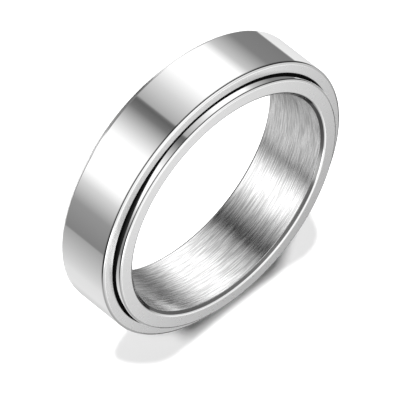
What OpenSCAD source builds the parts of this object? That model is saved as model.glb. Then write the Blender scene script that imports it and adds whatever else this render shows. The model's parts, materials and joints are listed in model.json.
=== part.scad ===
// Spinner ring: an inner band worn on the finger, and an outer band that turns freely in its groove.
// The ring lies on its side: the bore runs along Z, and the lower rim rests on the plane z = 0.

/* [Inner band] */
// Diameter of the bore that the finger goes through
bore_d = 19; // [14:0.1:23]
// Width of the inner band along the finger
band_w = 6; // [5:0.1:12]
// Thickness of the metal between the bore and the floor of the groove
groove_wall = 0.87; // [0.5:0.01:2]
// Height of the two rims above the floor of the groove
rim_h = 0.58; // [0.4:0.01:0.8]
// How far each rim stands out past the end face of the spinner band
rim_proud = 0.7; // [0.3:0.05:1]
// How far the straight side of a rim goes on below that end face
rim_lap = 0.25; // [0.2:0.01:0.4]
// Size of the 45 degree bevel at each mouth of the bore
bore_bevel = 0.28; // [0.1:0.01:0.4]
// Radius of the rounded outer edge of each rim
rim_round = 0.18; // [0.05:0.01:0.25]

/* [Spinner band] */
// Thickness of the spinner band at its middle
spinner_wall = 1.55; // [1.5:0.05:3]
// Radius of the rounded outer edges of the spinner band
spinner_round = 0.18; // [0.05:0.01:0.3]
// Radius of the rounded inner edges of its end faces
lip_round = 0.06; // [0.02:0.01:0.06]

/* [Fit] */
// Radial running clearance between the floor of the groove and the spinner band
run_gap = 0.08; // [0.03:0.01:0.1]
// Radial gap between the side of a rim and the end of the spinner band
lip_gap = 0.12; // [0.1:0.01:0.25]
// Play of the spinner band along the axis, towards either rim
end_play = 0.17; // [0.12:0.01:0.25]

/* [Hidden] */
$fn = 180;
// Facets of a rounded edge's circle
round_fn = 48;
// Length by which a cutting outline reaches past the metal
cut_past = 0.1;

// Radii from the axis, from the bore outwards
bore_r = bore_d / 2;
groove_r = bore_r + groove_wall;
rim_r = groove_r + rim_h;
spinner_in_r = groove_r + run_gap;
lip_r = rim_r + lip_gap;
spinner_out_r = spinner_in_r + spinner_wall;

// Heights in the upper half: the spinner's end face, and the foot of the rim's straight side
face_z = band_w - rim_proud;
land_z = face_z - rim_lap;

// The rim's flank and the spinner's bevel both slope at 45 degrees, so a height on one is a radius and an offset
function flank_z(r) = land_z - (rim_r - r);
function bevel_z(r) = flank_z(r) - end_play;

// Adds the lower half of an outline, mirrored in the middle plane of the ring
function with_lower_half(upper) = concat(upper, [
    for (i = [len(upper) - 1 : -1 : 0])
        mirrored(upper[i])
]);
function mirrored(p) = [p.x, band_w - p.y];

// What a rounded edge takes off a square corner, where out points away from the metal
module corner_cut(corner, radius, out) {
    reach = radius + cut_past;
    translate(corner - radius * out)
        difference() {
            translate([min(0, out.x * reach), min(0, out.y * reach)])
                square(reach);
            circle(r = radius, $fn = round_fn);
        }
}

// The same rounded edge at the upper and the lower end of the ring
module corner_cut_pair(corner, radius, side) {
    corner_cut(corner, radius, [side, 1]);
    corner_cut(mirrored(corner), radius, [side, -1]);
}

module inner_band_outline() {
    rim_corner = [rim_r, band_w];
    upper = [
        [bore_r, band_w - bore_bevel],
        [bore_r + bore_bevel, band_w],
        rim_corner,
        [rim_r, land_z],
        [groove_r, flank_z(groove_r)],
    ];
    difference() {
        polygon(with_lower_half(upper));
        corner_cut_pair(rim_corner, rim_round, 1);
    }
}

module spinner_band_outline() {
    lip_corner = [lip_r, face_z];
    outer_corner = [spinner_out_r, face_z];
    upper = [
        [spinner_in_r, bevel_z(spinner_in_r)],
        [lip_r, bevel_z(lip_r)],
        lip_corner,
        outer_corner,
    ];
    difference() {
        polygon(with_lower_half(upper));
        corner_cut_pair(outer_corner, spinner_round, 1);
        corner_cut_pair(lip_corner, lip_round, -1);
    }
}

// Finger ring with a rim at each end and a groove between them
module inner_band() {
    color("silver")
        rotate_extrude()
            inner_band_outline();
}

// Outer ring, bevelled inside at both ends so that the rims hold it in the groove
module spinner_band() {
    color("gainsboro")
        rotate_extrude()
            spinner_band_outline();
}

inner_band();
spinner_band();
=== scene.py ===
"""Looks of the spinner ring: lathe meshes over the two packed bands, steel finishes and a white studio."""

import json
import math

import bpy
from mathutils import Matrix, Vector


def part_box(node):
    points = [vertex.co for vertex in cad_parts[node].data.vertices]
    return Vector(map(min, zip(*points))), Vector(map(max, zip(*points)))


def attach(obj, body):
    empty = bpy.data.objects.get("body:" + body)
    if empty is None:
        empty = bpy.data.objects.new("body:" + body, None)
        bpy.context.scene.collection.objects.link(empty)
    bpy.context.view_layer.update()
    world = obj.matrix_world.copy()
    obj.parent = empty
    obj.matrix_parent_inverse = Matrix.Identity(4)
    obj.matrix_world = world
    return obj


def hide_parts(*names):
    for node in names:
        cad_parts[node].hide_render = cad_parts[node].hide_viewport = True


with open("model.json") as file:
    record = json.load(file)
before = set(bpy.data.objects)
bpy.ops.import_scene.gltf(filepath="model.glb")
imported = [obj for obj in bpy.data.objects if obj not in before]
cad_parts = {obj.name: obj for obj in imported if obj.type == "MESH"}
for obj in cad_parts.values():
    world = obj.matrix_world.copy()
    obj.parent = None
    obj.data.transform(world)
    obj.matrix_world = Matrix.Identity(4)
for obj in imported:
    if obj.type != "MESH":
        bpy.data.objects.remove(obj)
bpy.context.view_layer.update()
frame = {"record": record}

# Lengths are millimetres until a mesh or an object's place is made, which turns them into metres.
# Azimuths and elevations are degrees. Azimuth 0 is +X and 90 is +Y.
MM = 0.001
FULL_TURN = 360.0
HALF_TURN = 180.0

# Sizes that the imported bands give
inner_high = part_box("inner_band")[1]
spinner_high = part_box("spinner_band")[1]
bore_mount = next(mount for mount in frame["record"]["mounts"] if mount["name"] == "finger_bore")
BAND_WIDTH = inner_high.z / MM
RIM_RADIUS = inner_high.x / MM
SPINNER_RADIUS = spinner_high.x / MM
SPINNER_TOP = spinner_high.z / MM
BORE_RADIUS = bore_mount["dims"]["r_mm"]

# Sizes of the sections that no box gives, as in the part's source
BORE_BEVEL = 0.28
GROOVE_WALL = 0.87
RIM_ROUND = 0.18
RIM_LAP = 0.25
RUN_GAP = 0.08
LIP_GAP = 0.12
END_PLAY = 0.17
LIP_ROUND = 0.06

# The spinner's outer rounding, a little larger than the source's 0.18 mm
SPINNER_ROUND = 0.23

# Small roundings of the edges that the source leaves sharp
MOUTH_ROUND = 0.24
BORE_EDGE_ROUND = 0.06
EDGE_BREAK = 0.03

# Fineness of the meshes
SEGMENTS = 360
ANGLES = [2 * math.pi * segment / SEGMENTS for segment in range(SEGMENTS)]
ROUND_STEPS = 8
SUPPORT_STEP = 0.012

# Brightest level that a graph of light holds
PEAK = 3.0


class Tree:
    """Adds nodes to a node tree. A value is a number, a colour or another node's output."""

    def __init__(self, tree):
        self.tree = tree
        tree.nodes.clear()

    def put(self, socket, value):
        if isinstance(value, bpy.types.NodeSocket):
            self.tree.links.new(value, socket)
        else:
            socket.default_value = value

    def add(self, kind, inputs=(), **settings):
        node = self.tree.nodes.new(kind)
        for key, value in settings.items():
            setattr(node, key, value)
        for key, value in dict(inputs).items():
            self.put(node.inputs[key], value)
        return node

    def math(self, operation, *values):
        node = self.add("ShaderNodeMath", operation=operation)
        for i, value in enumerate(values):
            self.put(node.inputs[i], value)
        return node.outputs[0]

    def vector_math(self, operation, *values):
        """A vector operation's node, because some give a vector and some a number."""
        node = self.add("ShaderNodeVectorMath", operation=operation)
        for i, value in enumerate(values):
            self.put(node.inputs[i], value)
        return node

    def vary(self, value, low, spread):
        """Low plus that share of the spread, for a value from 0 to 1."""
        return self.math("MULTIPLY_ADD", value, spread, low)

    def span(self, value, start, end, low=0.0, high=1.0, kind="SMOOTHSTEP"):
        """Low before start and high after end, with a soft or straight change between them."""
        limits = {"Value": value, "From Min": start, "From Max": end, "To Min": low, "To Max": high}
        node = self.add("ShaderNodeMapRange", interpolation_type=kind)
        for name, limit in limits.items():
            self.put(node.inputs[name], limit)
        return node.outputs["Result"]

    def mix(self, share, a, b):
        node = self.add("ShaderNodeMix", {0: share, 2: a, 3: b}, data_type="FLOAT")
        return node.outputs[0]

    def ramp(self, value, stops):
        """Grey levels along a value from 0 to 1, straight between the stops. Each stop is (place, level)."""
        node = self.add("ShaderNodeValToRGB", {"Fac": value})
        node.color_ramp.interpolation = "LINEAR"
        elements = node.color_ramp.elements
        while len(elements) > 1:
            elements.remove(elements[-1])
        for i, (place, level) in enumerate(stops):
            element = elements[0] if i == 0 else elements.new(place)
            element.position = place
            element.color = (level, level, level, 1)
        return node.outputs["Color"]

    def graph(self, value, points, height=PEAK):
        """A graph through points (place, level), the first at place 0. No level is above the height."""
        length = points[-1][0]
        share = self.math("DIVIDE", value, length)
        levels = self.ramp(share, [(place / length, level / height) for place, level in points])
        return self.math("MULTIPLY", levels, height)

    def noise(self, vector, detail=2.0, roughness=0.5, scale=1.0):
        inputs = {"Vector": vector, "Scale": scale, "Detail": detail, "Roughness": roughness}
        return self.add("ShaderNodeTexNoise", inputs).outputs["Fac"]

    def coordinates(self, kind):
        """The X, Y and Z of the object's own coordinates, or of the world's direction."""
        vector = self.add("ShaderNodeTexCoord").outputs[kind]
        return self.add("ShaderNodeSeparateXYZ", {"Vector": vector}).outputs

    def azimuth(self, x, y):
        """The azimuth of a direction, from 0 to a full turn."""
        angle = self.math("DEGREES", self.math("ARCTAN2", y, x))
        return self.math("FLOORED_MODULO", angle, FULL_TURN)

    def degrees_off(self, azimuth, middle):
        """How far an azimuth is from that middle, to either side."""
        turned = self.math("FLOORED_MODULO", self.math("SUBTRACT", azimuth, middle - HALF_TURN), FULL_TURN)
        return self.math("ABSOLUTE", self.math("SUBTRACT", turned, HALF_TURN))


def new_material(name):
    material = bpy.data.materials.new(name)
    material.use_nodes = True
    return material, Tree(material.node_tree)


def finish_tree(tree, shader):
    tree.add("ShaderNodeOutputMaterial", {"Surface": shader.outputs[0]})


def add_object(name, points, faces):
    """A mesh object in the scene. Its points are in millimetres."""
    mesh = bpy.data.meshes.new(name)
    mesh.from_pydata([[length * MM for length in point] for point in points], [], faces)
    obj = bpy.data.objects.new(name, mesh)
    bpy.context.scene.collection.objects.link(obj)
    return obj


def ring_points(sections):
    """The points of a ring, from the points (radius, height) of its section at each angle."""
    points = []
    for angle, section in zip(ANGLES, sections):
        for radius, height in section:
            points.append((radius * math.cos(angle), radius * math.sin(angle), height))
    return points


def ring_faces(count, is_closed=True):
    """Quads between the neighbouring sections of a ring, each a line of that many points, closed or open."""
    faces = []
    for segment in range(SEGMENTS):
        here = segment * count
        there = (segment + 1) % SEGMENTS * count
        for first in range(count if is_closed else count - 1):
            second = (first + 1) % count
            faces.append((here + first, here + second, there + second, there + first))
    return faces


def rounded_outline(corners):
    """Points (radius, height, finish) of a closed outline that runs clockwise.
    Each corner is (radius, height, rounding, finish of the side after it)."""
    points = []
    count = len(corners)
    for i, (x, y, rounding, finish) in enumerate(corners):
        before = corners[i - 1]
        after = corners[(i + 1) % count]
        corner = Vector((x, y))
        into = (corner - Vector(before[:2])).normalized()
        out = (Vector(after[:2]) - corner).normalized()
        turn = math.atan2(into.x * out.y - into.y * out.x, into.dot(out))
        reach = rounding * math.tan(abs(turn) / 2)
        start = corner - into * reach
        side = 1 if turn > 0 else -1
        centre = start + Vector((-into.y, into.x)) * side * rounding
        spoke = start - centre
        is_fillet = rounding > EDGE_BREAK
        points.append((*(start - into * SUPPORT_STEP), before[3]))
        for step in range(ROUND_STEPS):
            angle = turn * step / ROUND_STEPS
            place = centre + Matrix.Rotation(angle, 2) @ spoke
            nearer = before[3] if step < ROUND_STEPS / 2 else finish
            points.append((*place, "polished" if is_fillet else nearer))
        points.append((*(corner + out * reach), finish))
        points.append((*(corner + out * (reach + SUPPORT_STEP)), finish))
    return points


def with_lower_half(upper, closing_finish):
    """The upper half of an outline and its mirror image below the middle of the ring."""
    lower = []
    for i in range(len(upper) - 1, -1, -1):
        radius, height, rounding, _ = upper[i]
        finish = upper[i - 1][3] if i > 0 else closing_finish
        lower.append((radius, BAND_WIDTH - height, rounding, finish))
    return upper + lower


def lathe(name, corners, finishes):
    """A closed ring mesh, the outline turned about the Z axis, with one material for each finish."""
    outline = rounded_outline(corners)
    finish_names = sorted({finish for _, _, finish in outline})
    section = [(radius, height) for radius, height, _ in outline]
    obj = add_object(name, ring_points([section] * SEGMENTS), ring_faces(len(section)))
    for finish in finish_names:
        obj.data.materials.append(finishes[finish])
    of_section = [finish_names.index(finish) for _, _, finish in outline]
    obj.data.polygons.foreach_set("material_index", of_section * SEGMENTS)
    obj.data.polygons.foreach_set("use_smooth", [True] * len(obj.data.polygons))
    obj.data.update()
    return obj


# Turn of the stretched highlight, for brushing that runs round the axis
QUARTER_TURN = 0.25


def steel(name, grey, roughness, anisotropy=0.0):
    """A steel material. Returns it, its node builder, its shader and the object's coordinates in millimetres.
    Some finishes let the grey and the roughness given here vary over the surface."""
    material, tree = new_material(name)
    base = {"Base Color": (grey, grey, grey, 1), "Metallic": 1.0, "Roughness": roughness}
    shader = tree.add("ShaderNodeBsdfPrincipled", base)
    finish_tree(tree, shader)
    scaled = tree.vector_math("SCALE", tree.add("ShaderNodeTexCoord").outputs["Object"])
    scaled.inputs["Scale"].default_value = 1 / MM
    if anisotropy:
        tangent = tree.add("ShaderNodeTangent", direction_type="RADIAL", axis="Z")
        tree.put(shader.inputs["Anisotropic"], anisotropy)
        tree.put(shader.inputs["Anisotropic Rotation"], QUARTER_TURN)
        tree.put(shader.inputs["Tangent"], tangent.outputs[0])
    return material, tree, shader, scaled.outputs[0]


def stretched(tree, vector, across, along_axis):
    """The coordinates with other scales across the axis and along it, for marks that run round the ring."""
    return tree.vector_math("MULTIPLY", vector, (across, across, along_axis)).outputs[0]


def radius_of(tree, vector):
    """The distance of a place from the axis."""
    return tree.vector_math("LENGTH", stretched(tree, vector, across=1.0, along_axis=0.0)).outputs["Value"]


def bumped(tree, shader, height, depth):
    """Surface relief of that depth in millimetres."""
    bump = tree.add("ShaderNodeBump", {"Height": height, "Strength": 1.0, "Distance": depth * MM})
    tree.put(shader.inputs["Normal"], bump.outputs[0])


def grey_colour(tree, shader, value):
    """A grey that varies over the surface as the shader's base colour."""
    colour = tree.add("ShaderNodeCombineColor", {"Red": value, "Green": value, "Blue": value})
    tree.put(shader.inputs["Base Color"], colour.outputs[0])


def make_polished():
    """Mirror-polished steel with faint hairlines round the ring."""
    material, tree, shader, place = steel("polished_steel", grey=0.86, roughness=0.05)
    hairlines = tree.noise(stretched(tree, place, across=0.25, along_axis=14.0), detail=3.0)
    clouds = tree.noise(place, scale=0.6)
    tree.put(shader.inputs["Roughness"], tree.vary(clouds, low=0.03, spread=0.04))
    bumped(tree, shader, hairlines, depth=0.00004)
    return material


def make_satin():
    """Satin steel with fine turning marks about the axis, for the end faces."""
    material, tree, shader, place = steel("satin_steel", grey=0.82, roughness=0.34)
    marks_per_mm = 6.0
    outward = tree.math("MULTIPLY", radius_of(tree, place), marks_per_mm)
    marks = tree.add("ShaderNodeTexNoise", {"W": outward, "Detail": 1.0}, noise_dimensions="1D")
    clouds = tree.noise(place, scale=1.5)
    grain = tree.noise(place, scale=22.0)
    tree.put(shader.inputs["Roughness"], tree.vary(clouds, low=0.24, spread=0.08))
    grey_colour(tree, shader, tree.vary(grain, low=0.80, spread=0.02))
    bumped(tree, shader, marks.outputs["Fac"], depth=0.0004)
    return material


def make_brushed():
    """Steel brushed round the axis, for the bore."""
    material, tree, shader, place = steel("brushed_steel", grey=0.85, roughness=0.3, anisotropy=0.85)
    streaks = tree.noise(stretched(tree, place, across=0.6, along_axis=13.0), detail=3.0)
    strokes = tree.noise(stretched(tree, place, across=0.12, along_axis=2.2), detail=2.0)
    stroke_share = 0.5
    relief = tree.math("ADD", streaks, tree.math("MULTIPLY", strokes, stroke_share))
    roughness = tree.span(streaks, 0.3, 0.7, low=0.18, high=0.27, kind="LINEAR")
    tree.put(shader.inputs["Roughness"], roughness)
    grey_colour(tree, shader, tree.span(streaks, 0.40, 0.60, low=0.62, high=1.0, kind="LINEAR"))
    bumped(tree, shader, relief, depth=0.006)
    return material


def make_turned():
    """Turned steel inside the groove and on the faces that run in it, with turning marks, its grey lowered as
    painted shade of the gap between the bands.
    """
    material, tree, shader, place = steel("turned_steel_painted_shade", grey=0.42, roughness=0.35)
    marks = tree.noise(stretched(tree, place, across=0.2, along_axis=9.0), detail=3.0)
    grey_colour(tree, shader, tree.vary(marks, low=0.3, spread=0.2))
    bumped(tree, shader, marks, depth=0.001)
    return material


def make_bevelled():
    """Steel of the bevels at the mouths of the bore, its grey set far below steel's as painted shade."""
    material, tree, shader, place = steel("bevel_painted_shade", grey=0.14, roughness=0.12)
    marks = tree.noise(stretched(tree, place, across=0.3, along_axis=12.0), detail=3.0)
    grey_colour(tree, shader, tree.vary(marks, low=0.09, spread=0.09))
    bumped(tree, shader, marks, depth=0.0004)
    return material


finishes = {
    # The bevelled finish's low grey is painted shade.
    "bevelled": make_bevelled(),
    "polished": make_polished(),
    "satin": make_satin(),
    "brushed": make_brushed(),
    # The turned finish's low grey is painted shade of the gap between the bands.
    "turned": make_turned(),
}

# The sections of the two bands, by the same rules as in the part's source
groove_radius = BORE_RADIUS + GROOVE_WALL
land_z = SPINNER_TOP - RIM_LAP
flank_drop = RIM_RADIUS - groove_radius
lip_radius = RIM_RADIUS + LIP_GAP
spinner_bore = groove_radius + RUN_GAP
bevel_top = land_z + LIP_GAP - END_PLAY

inner_corners = with_lower_half([
    (BORE_RADIUS, BAND_WIDTH - BORE_BEVEL, BORE_EDGE_ROUND, "bevelled"),
    (BORE_RADIUS + BORE_BEVEL, BAND_WIDTH, MOUTH_ROUND, "satin"),
    (RIM_RADIUS, BAND_WIDTH, RIM_ROUND, "polished"),
    (RIM_RADIUS, land_z, EDGE_BREAK, "turned"),
    (groove_radius, land_z - flank_drop, EDGE_BREAK, "turned"),
], "brushed")
spinner_corners = with_lower_half([
    (spinner_bore, bevel_top - (lip_radius - spinner_bore), EDGE_BREAK, "turned"),
    (lip_radius, bevel_top, EDGE_BREAK, "turned"),
    (lip_radius, SPINNER_TOP, LIP_ROUND, "satin"),
    (SPINNER_RADIUS, SPINNER_TOP, SPINNER_ROUND, "polished"),
], "turned")

inner_ring = lathe("inner_ring", inner_corners, finishes)
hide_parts("inner_band")
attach(inner_ring, "inner")

spinner_ring = lathe("spinner_ring", spinner_corners, finishes)
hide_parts("spinner_band")
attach(spinner_ring, "spinner")

# The levels of light in the lists below were set until the greys of the steel came near the
# photograph's. Each stop is (azimuth or elevation, level).

# Brightness of what the steel reflects below the horizon, by azimuth
LOW_WALLS = [
    (0, 0.26), (1.5, 0.26), (2.5, 0.42), (42, 0.85), (60, 0.86), (74, 0.70), (96, 0.70), (108, 0.86),
    (127, 0.93), (128.5, 0.22), (158, 0.25), (178, 0.66), (187, 1.25), (216, 1.25), (234, 0.76),
    (249.5, 0.45), (250.5, 0.12), (257, 0.20), (282, 1.25), (312, 1.25), (322, 0.78), (338, 0.34),
    (360, 0.26),
]

# Brightness further down, which the lower edges reflect, by azimuth, and the elevations between which it
# gives way to the walls above
DEEP_WALLS = [
    (0, 0.25), (150, 0.22), (178, 0.22), (186, 1.35), (212, 1.35), (220, 0.30), (284, 0.25), (291, 1.35),
    (303, 1.35), (309, 0.25), (340, 0.15), (360, 0.25),
]
DEEP_ENDS = (-44.0, -35.0)

# The near side, a wide sector about this azimuth that fades out between these angles off its middle
NEAR_MIDDLE = 250.0
NEAR_FADES = (118.0, 138.0)

# Share of the walls' brightness that is left just below the horizon on the near side, and the elevations
# between which it is reached
DIM_SHARE = 0.4
DIM_STARTS = (-27.0, -24.0)

# Elevations between which the walls end, on the near side and elsewhere
NEAR_HORIZON = (-9.0, -6.0)
FAR_HORIZON = (-12.5, -9.0)

# Elevation up to which the near side is dark, by azimuth, and half the width of its soft edge
DARK_TOP = [(0, 24), (26, 10), (60, 0), (120, 0), (134, 4), (142, 10), (165, 24), (360, 24)]
DARK_EDGE = 4.0
DARK_LEVEL = 0.01
ZENITH = 90.0

# Brightness of the near side above its dark part, by elevation, and the share of it that is left, by azimuth
NEAR_WHITE = [(0, 1.1), (45, 1.1), (63, 1.2), (90, 1.2)]
NEAR_SHARE = [
    (0, 0.82), (40, 0.9), (110, 0.6), (160, 0.7), (200, 1.0), (270, 1.0), (300, 0.95), (330, 0.82),
    (360, 0.82),
]

# Brightness above the horizon elsewhere, by elevation
FAR_WHITE = [(0, 0.42), (18, 0.42), (45, 0.85), (63, 1.2), (90, 1.2)]

# A soft light high beside the ring, which brightens part of the bevel at the far mouth
SIDE_LIGHT_AZIMUTH = 4.0
SIDE_LIGHT_HALF = 16.0
SIDE_LIGHT_LOW = 36.0
SIDE_LIGHT_HIGH = 50.0
SIDE_LIGHT_SOFT = 3.0
SIDE_LIGHT_LEVEL = 3.2


def side_light_share(tree, azimuth, elevation):
    """How much of the side light shows in a direction, from 0 to 1."""
    soft = SIDE_LIGHT_SOFT
    off = tree.degrees_off(azimuth, SIDE_LIGHT_AZIMUTH)
    beside = tree.span(off, SIDE_LIGHT_HALF - soft, SIDE_LIGHT_HALF + soft, 1.0, 0.0)
    over = tree.span(elevation, SIDE_LIGHT_LOW - soft, SIDE_LIGHT_LOW + soft)
    under = tree.span(elevation, SIDE_LIGHT_HIGH - soft, SIDE_LIGHT_HIGH + soft, 1.0, 0.0)
    return tree.math("MULTIPLY", beside, tree.math("MULTIPLY", over, under))


def light_below(tree, azimuth, elevation, near_side):
    """The walls below the horizon, dimmer near it on the near side."""
    deep = tree.graph(azimuth, DEEP_WALLS)
    walls = tree.mix(tree.span(elevation, *DEEP_ENDS), deep, tree.graph(azimuth, LOW_WALLS))
    near_and_high = tree.math("MULTIPLY", near_side, tree.span(elevation, *DIM_STARTS))
    return tree.math("MULTIPLY", walls, tree.mix(near_and_high, 1.0, DIM_SHARE))


def light_above(tree, azimuth, elevation, near_side):
    """White above the horizon, over a dark part on the near side, with the side light before it."""
    over_dark = tree.math("SUBTRACT", elevation, tree.graph(azimuth, DARK_TOP, ZENITH))
    near_white = tree.math("MULTIPLY", tree.graph(elevation, NEAR_WHITE), tree.graph(azimuth, NEAR_SHARE))
    near = tree.mix(tree.span(over_dark, -DARK_EDGE, DARK_EDGE), DARK_LEVEL, near_white)
    white = tree.mix(near_side, tree.graph(elevation, FAR_WHITE), near)
    return tree.mix(side_light_share(tree, azimuth, elevation), white, SIDE_LIGHT_LEVEL)


def studio_light(tree):
    """What a reflection sees in each direction of the world: walls below the horizon and white above it."""
    x, y, z = tree.coordinates("Generated")
    azimuth = tree.azimuth(x, y)
    elevation = tree.math("DEGREES", tree.math("ARCSINE", z))
    near_side = tree.span(tree.degrees_off(azimuth, NEAR_MIDDLE), *NEAR_FADES, 1.0, 0.0)
    start, end = (tree.mix(near_side, far, near) for far, near in zip(FAR_HORIZON, NEAR_HORIZON))
    below = light_below(tree, azimuth, elevation, near_side)
    above = light_above(tree, azimuth, elevation, near_side)
    return tree.mix(tree.span(elevation, start, end), below, above)


# Light that falls on the floor from all round, and the white that the camera sees past the floor
AMBIENT = 0.12
BACKGROUND = 1.2
world = bpy.data.worlds.new("white_studio")
world.use_nodes = True
world.cycles.sampling_method = "NONE"
bpy.context.scene.world = world
world_tree = Tree(world.node_tree)
ray = world_tree.add("ShaderNodeLightPath").outputs
seen = world_tree.mix(ray["Is Glossy Ray"], AMBIENT, studio_light(world_tree))
seen = world_tree.mix(ray["Is Camera Ray"], seen, BACKGROUND)
background = world_tree.add("ShaderNodeBackground", {"Color": (1, 1, 1, 1), "Strength": seen})
world_tree.add("ShaderNodeOutputWorld", {"Surface": background.outputs[0]})


def staged(name, points, faces, material=None):
    """An object of the studio, which isn't part of the ring."""
    obj = add_object(name, points, faces)
    if material:
        obj.data.materials.append(material)
    return obj


def plane(name, width, depth, material):
    """A flat rectangle about the origin, facing up."""
    x, y = width / 2, depth / 2
    return staged(name, [(-x, -y, 0), (x, -y, 0), (x, y, 0), (-x, y, 0)], [(0, 1, 2, 3)], material)


def glowing(name, level_of):
    """A material that only glows. level_of adds nodes to its tree and returns the level."""
    material, tree = new_material(name)
    finish_tree(tree, tree.add("ShaderNodeEmission", {"Strength": level_of(tree)}))
    material.cycles.emission_sampling = "NONE"
    return material


def show_only_in_reflections(obj):
    obj.visible_camera = False
    obj.visible_diffuse = False
    obj.visible_shadow = False
    obj.visible_transmission = False
    obj.visible_volume_scatter = False


FLOOR_SIZE = 3000
FLOOR_GREY = 0.9
floor_material, floor_tree = new_material("white_floor")
floor_colour = (FLOOR_GREY, FLOOR_GREY, FLOOR_GREY, 1)
finish_tree(floor_tree, floor_tree.add("ShaderNodeBsdfDiffuse", {"Color": floor_colour, "Roughness": 0.0}))
floor = plane("floor", FLOOR_SIZE, FLOOR_SIZE, floor_material)
floor.visible_glossy = False

# A panel that stands behind the ring, for the satin end faces to reflect. It is dark up to a height, and
# gains brightness with each millimetre above it until its peak.
PANEL_DISTANCE = 60.0
PANEL_WIDTH = 54.0
PANEL_LOW = 5.0
PANEL_HIGH = 95.0
PANEL_DARK_TO = 20.0
PANEL_GAIN = 0.035
PANEL_PEAK = 1.2
panel_middle = (PANEL_LOW + PANEL_HIGH) / 2


def panel_level(tree):
    from_middle = tree.math("MULTIPLY", tree.coordinates("Object")["Y"], 1 / MM)
    over_dark = tree.math("MAXIMUM", tree.math("ADD", from_middle, panel_middle - PANEL_DARK_TO), 0.0)
    return tree.math("MINIMUM", tree.math("MULTIPLY", over_dark, PANEL_GAIN), PANEL_PEAK)


panel = plane("graded_panel", PANEL_WIDTH, PANEL_HIGH - PANEL_LOW, glowing("graded_panel", panel_level))
panel.rotation_euler = (math.pi / 2, 0, 0)
panel.location = (0, PANEL_DISTANCE * MM, panel_middle * MM)
show_only_in_reflections(panel)

# A drum round the axis below the ring, for the bore to reflect. Its brightness by azimuth makes three soft
# lights, two of them with one sharp edge. The stops stand at the azimuths, rounded, that measured places in
# the bore mirror in the photograph's view.
DRUM_RADIUS = 13.0
DRUM_LOW = -40.0
DRUM_HIGH = -2.0
DRUM_GLOW = [
    (0, 0.19), (3, 0.20), (4.5, 0.50), (28, 0.70), (60, 0.60), (90, 0.36), (108, 0.15), (125, 0.30),
    (162, 1.45), (188, 1.38), (215, 0.82), (241, 0.32), (243.5, 0.05), (256, 0.05), (281, 0.50), (305, 1.40),
    (324, 1.57), (335, 1.20), (357, 0.18), (360, 0.19),
]


def drum_level(tree):
    x, y, _ = tree.coordinates("Object")
    return tree.graph(tree.azimuth(x, y), DRUM_GLOW)


drum_section = [(DRUM_RADIUS, DRUM_LOW), (DRUM_RADIUS, DRUM_HIGH)]
drum_faces = ring_faces(len(drum_section), is_closed=False)
drum_material = glowing("graded_glow", drum_level)
drum = staged("glowing_drum", ring_points([drum_section] * SEGMENTS), drum_faces, drum_material)
show_only_in_reflections(drum)

# A nearly black ring just inside the spinner, seen only in reflections, which stands in for it where the rims
# reflect it and puts a painted dark reflection into them.
# It bulges outwards about one azimuth, and its glow grows with the radius between two low levels.
CORE_RADIUS = lip_radius + 0.01
CORE_TOP = SPINNER_TOP - 0.1
CORE_WIDTH = 0.15
CORE_BULGE = 0.44
CORE_BULGE_AT = math.radians(301)
CORE_BULGE_HALF = math.radians(38)
CORE_GLOW = (0.004, 0.03)


def core_level(tree):
    x, y, _ = tree.coordinates("Object")
    flat = tree.add("ShaderNodeCombineXYZ", {"X": x, "Y": y}).outputs[0]
    radius = tree.math("MULTIPLY", tree.vector_math("LENGTH", flat).outputs["Value"], 1 / MM)
    return tree.span(radius, CORE_RADIUS, CORE_RADIUS + CORE_WIDTH + CORE_BULGE, *CORE_GLOW)


def core_bulge(angle):
    """How much of the bulge the core has at an angle, from 0 to 1."""
    off = (angle - CORE_BULGE_AT + math.pi) % (2 * math.pi) - math.pi
    if abs(off) >= CORE_BULGE_HALF:
        return 0.0
    return math.cos(off / CORE_BULGE_HALF * math.pi / 2) ** 2


def core_section(angle):
    outside = CORE_RADIUS + CORE_WIDTH + CORE_BULGE * core_bulge(angle)
    low = BAND_WIDTH - CORE_TOP
    return [(outside, low), (CORE_RADIUS, low), (CORE_RADIUS, CORE_TOP), (outside, CORE_TOP)]


core_sections = [core_section(angle) for angle in ANGLES]
core_faces = ring_faces(len(core_sections[0]))
core = staged("dark_reflection_core", ring_points(core_sections), core_faces, glowing("painted_dark_reflection", core_level))
show_only_in_reflections(core)
spinner_ring.visible_glossy = False

# Together the suns make the open floor whiter than white, so the front sun's shadow is light, and where
# both are hidden it is dark. A flag before each adds to the ring's own shadow behind the ring. The flags'
# outlines, (x, y) on the floor, follow the photograph's shadow.
SUN_AZIMUTH = 270
FRONT_ELEVATION = 31.0
FRONT_SOFTNESS = 0.07
FRONT_LEVEL = 1.0
HIGH_ELEVATION = 40.0
HIGH_SOFTNESS = 0.13
HIGH_LEVEL = 0.67
FLAG_HEIGHT = 450.0
LIGHT_SHADOW = [
    (-11.6, 11.5), (-10.9, 14.0), (-9.4, 16.3), (-7.2, 18.4), (-5.0, 19.8), (-3.6, 21.2), (-3.2, 23.2),
    (-2.6, 24.8), (-1.6, 25.5), (-0.5, 25.4), (1.2, 24.1), (3.4, 22.7), (7.0, 20.9), (10.2, 19.6),
    (11.8, 18.8), (12.9, 17.6), (13.7, 15.8), (14.4, 13.6), (14.7, 11.8), (14.5, 10.5), (13.8, 9.8),
    (11.0, 9.4),
]
DARK_SHADOW = [
    (-11.4, 11.5), (-10.6, 13.8), (-9.2, 15.9), (-7.0, 18.0), (-4.5, 19.4), (-2.0, 20.3), (-0.2, 21.5),
    (0.8, 22.5), (1.7, 22.8), (2.7, 22.4), (5.7, 20.7), (9.0, 18.9), (9.9, 18.0), (9.9, 16.0), (10.6, 14.2),
    (11.3, 12.0),
]


def direction_to(azimuth, elevation):
    around, up = math.radians(azimuth), math.radians(elevation)
    return Vector((math.cos(around) * math.cos(up), math.sin(around) * math.cos(up), math.sin(up)))


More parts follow.
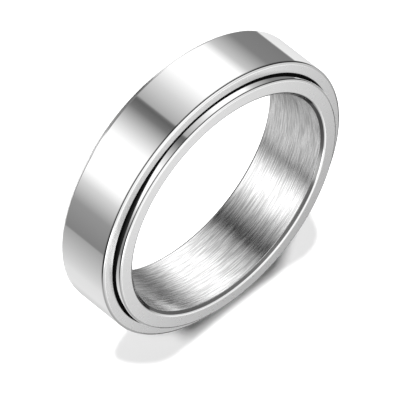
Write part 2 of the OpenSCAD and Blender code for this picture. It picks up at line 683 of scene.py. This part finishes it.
def sun(name, elevation, softness, floor_level):
    """A lamp far off, that many degrees wide, which gives the floor that share of white."""
    lamp = bpy.data.lights.new(name, "SUN")
    lamp.energy = floor_level * math.pi / (FLOOR_GREY * math.sin(math.radians(elevation)))
    lamp.angle = math.radians(softness)
    obj = bpy.data.objects.new(name, lamp)
    obj.rotation_mode = "QUATERNION"
    obj.rotation_quaternion = direction_to(SUN_AZIMUTH, elevation).to_track_quat("Z", "Y")
    obj.visible_glossy = False
    bpy.context.scene.collection.objects.link(obj)


def flag(name, elevation, outline):
    """A flat screen high above the floor, which keeps the light of one sun off the outline on the floor."""
    lift = direction_to(SUN_AZIMUTH, elevation) * FLAG_HEIGHT / math.sin(math.radians(elevation))
    points = [Vector((x, y, 0)) + lift for x, y in outline]
    obj = staged(name, points, [range(len(points))])
    obj.visible_camera = False
    obj.visible_diffuse = False
    obj.visible_glossy = False


sun("front_sun", FRONT_ELEVATION, FRONT_SOFTNESS, FRONT_LEVEL)
sun("high_sun", HIGH_ELEVATION, HIGH_SOFTNESS, HIGH_LEVEL)
flag("front_flag", FRONT_ELEVATION, LIGHT_SHADOW)
flag("high_flag", HIGH_ELEVATION, DARK_SHADOW)

# The photograph's camera, fitted to the ring's edges. It looks along +Y and down, at a point that lies a
# little to the right of the middle of the ring and above it, in millimetres. Its distance and its clipping
# are in metres.
CAMERA_ELEVATION = math.radians(29.746)
CAMERA_ROLL = math.radians(128.239)
CAMERA_DISTANCE = 0.6
CAMERA_LENS = 729.3
CAMERA_SENSOR = 36.0
AIM_RIGHT = 1.053
AIM_UP = 0.663
CLIP_START = 0.01
CLIP_END = 10.0


def add_camera():
    cosine, sine = math.cos(CAMERA_ELEVATION), math.sin(CAMERA_ELEVATION)
    ring_centre = Vector((0, 0, BAND_WIDTH / 2 * MM))
    view_right = Vector((1, 0, 0))
    view_up = Vector((0, sine, cosine))
    view_back = Vector((0, -cosine, sine))
    place = ring_centre + view_back * CAMERA_DISTANCE
    aim = ring_centre + (view_right * AIM_RIGHT + view_up * AIM_UP) * MM
    backward = (place - aim).normalized()
    level_right = view_up.cross(backward).normalized()
    level_up = backward.cross(level_right)
    rolled_right = level_right * math.cos(CAMERA_ROLL) + level_up * math.sin(CAMERA_ROLL)
    rolled_up = level_up * math.cos(CAMERA_ROLL) - level_right * math.sin(CAMERA_ROLL)
    data = bpy.data.cameras.new("camera")
    data.lens = CAMERA_LENS
    data.sensor_width = CAMERA_SENSOR
    data.clip_start = CLIP_START
    data.clip_end = CLIP_END
    camera = bpy.data.objects.new("camera", data)
    camera.rotation_mode = "QUATERNION"
    camera.rotation_quaternion = Matrix((rolled_right, rolled_up, backward)).transposed().to_quaternion()
    camera.location = place
    bpy.context.scene.collection.objects.link(camera)
    bpy.context.scene.camera = camera


add_camera()
bpy.context.scene.view_settings.view_transform = "Standard"
bpy.context.scene.view_settings.look = "None"
